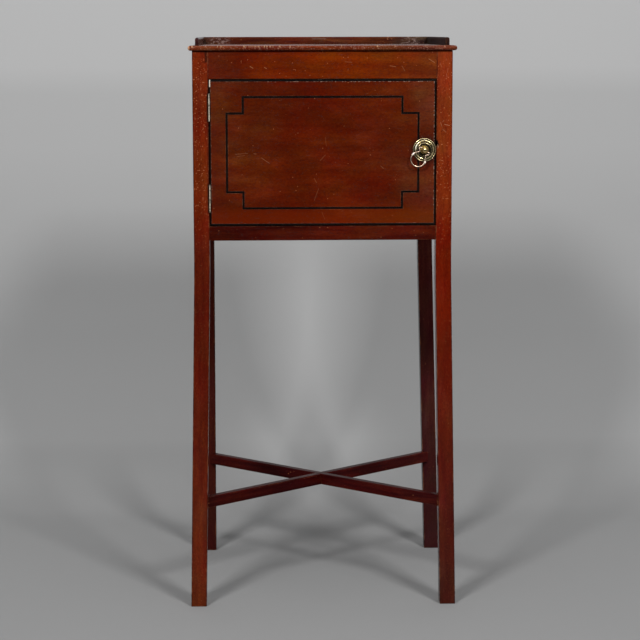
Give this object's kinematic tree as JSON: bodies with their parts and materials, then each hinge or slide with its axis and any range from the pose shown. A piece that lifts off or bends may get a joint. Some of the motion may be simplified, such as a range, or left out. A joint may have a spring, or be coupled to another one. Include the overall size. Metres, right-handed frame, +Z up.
{
  "type": "bedside pot cupboard",
  "caption": "Small bedside cupboard with one hinged door on tall splayed legs, crossed stretchers, a low gallery round the top and a brass ring latch.",
  "frame": {"origin": "on the floor, under the middle of the top board", "axes": "+X to the right seen from the front, +Y to the back, +Z up; the door faces -Y"},
  "size_m": [0.383, 0.3362, 0.807],
  "materials": {
    "mahogany": "old french polish, softly glossy",
    "pine": "bare, darkened with age",
    "ebony": "polished",
    "brass": "worn, tarnished in the hollows",
    "steel": "dull, hand filed"
  },
  "bodies": {
    "carcass": {"top_board": "mahogany", "gallery_back": "mahogany", "gallery_left": "mahogany", "gallery_right": "mahogany", "leg_front_left": "mahogany", "leg_front_right": "mahogany", "leg_rear_left": "mahogany", "leg_rear_right": "mahogany", "frieze_rail": "mahogany", "bottom_rail": "mahogany", "side_panel_left": "mahogany", "side_panel_right": "mahogany", "back_panel": "pine", "bottom_board": "pine", "bottom_bearers": "pine", "glue_blocks": "pine", "door_stop": "pine", "stretcher_from_front_left": "mahogany", "stretcher_from_front_right": "mahogany", "upper_hinge_leg_leaf": "brass", "lower_hinge_leg_leaf": "brass", "hinge_pins": "brass", "hinge_leg_screws": "brass"},
    "door": {"door_board": "mahogany", "door_stringing": "ebony", "door_edge_stringing": "ebony", "upper_hinge_door_leaf": "brass", "lower_hinge_door_leaf": "brass", "hinge_door_screws": "brass", "handle_backplate": "brass", "backplate_pins": "brass"},
    "turn_spindle": {"handle_post": "brass", "latch_tongue": "steel", "spindle_nut": "brass"},
    "ring": {"ring_handle": "brass"}
  },
  "joints": [
    {"name": "door_hinge", "type": "hinge", "parent": "carcass", "child": "door", "pos_m": [-0.1575, -0.15785, 0.6485], "axis": [0, 0, -1], "range_deg": [0, 170]},
    {"name": "latch_turn", "type": "hinge", "parent": "door", "child": "turn_spindle", "pos_m": [0.1414, -0.15725, 0.6521], "axis": [0, 1, 0], "range_deg": [-35, 54]},
    {"name": "ring_swing", "type": "hinge", "parent": "turn_spindle", "child": "ring", "pos_m": [0.1414, -0.16545, 0.6521], "axis": [-0.809, 0, 0.5878], "range_deg": [-15, 165]}
  ]
}
